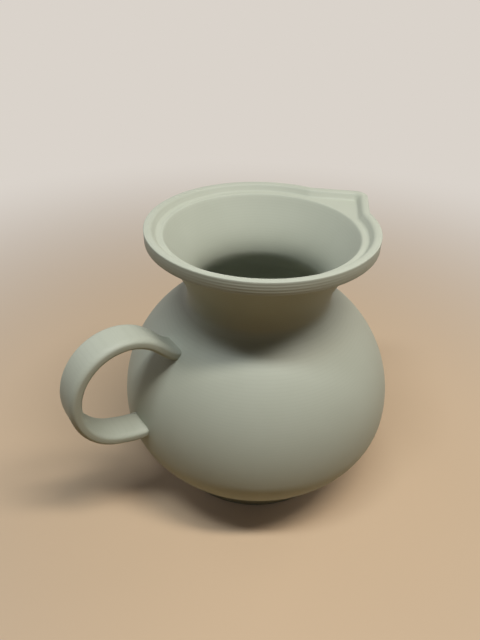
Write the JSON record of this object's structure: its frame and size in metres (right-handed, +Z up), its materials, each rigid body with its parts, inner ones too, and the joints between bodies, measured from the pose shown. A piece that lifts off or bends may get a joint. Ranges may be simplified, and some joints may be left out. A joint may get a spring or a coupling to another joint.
{
  "type": "milk jug",
  "caption": "Small round-bellied milk jug with a pinched neck, a funnel mouth, a flat rim with a V-shaped pouring lip and a strap handle opposite it.",
  "frame": {"origin": "centre of the foot's flat underside, on the jug's axis", "axes": "+Z up along the jug's axis, +X towards the pouring lip, the handle on the -X side"},
  "size_m": [0.1219, 0.1, 0.1],
  "materials": {
    "foot_disc": "matte sage green printed plastic",
    "belly_bowl": "matte sage green printed plastic",
    "belly_shoulder": "matte sage green printed plastic",
    "neck_funnel": "matte sage green printed plastic",
    "rim_band": "matte sage green printed plastic",
    "handle_strap": "matte sage green printed plastic"
  },
  "bodies": {
    "root": {"foot_disc": "foot_disc", "belly_bowl": "belly_bowl", "belly_shoulder": "belly_shoulder", "neck_funnel": "neck_funnel", "rim_band": "rim_band", "handle_strap": "handle_strap"}
  },
  "joints": []
}
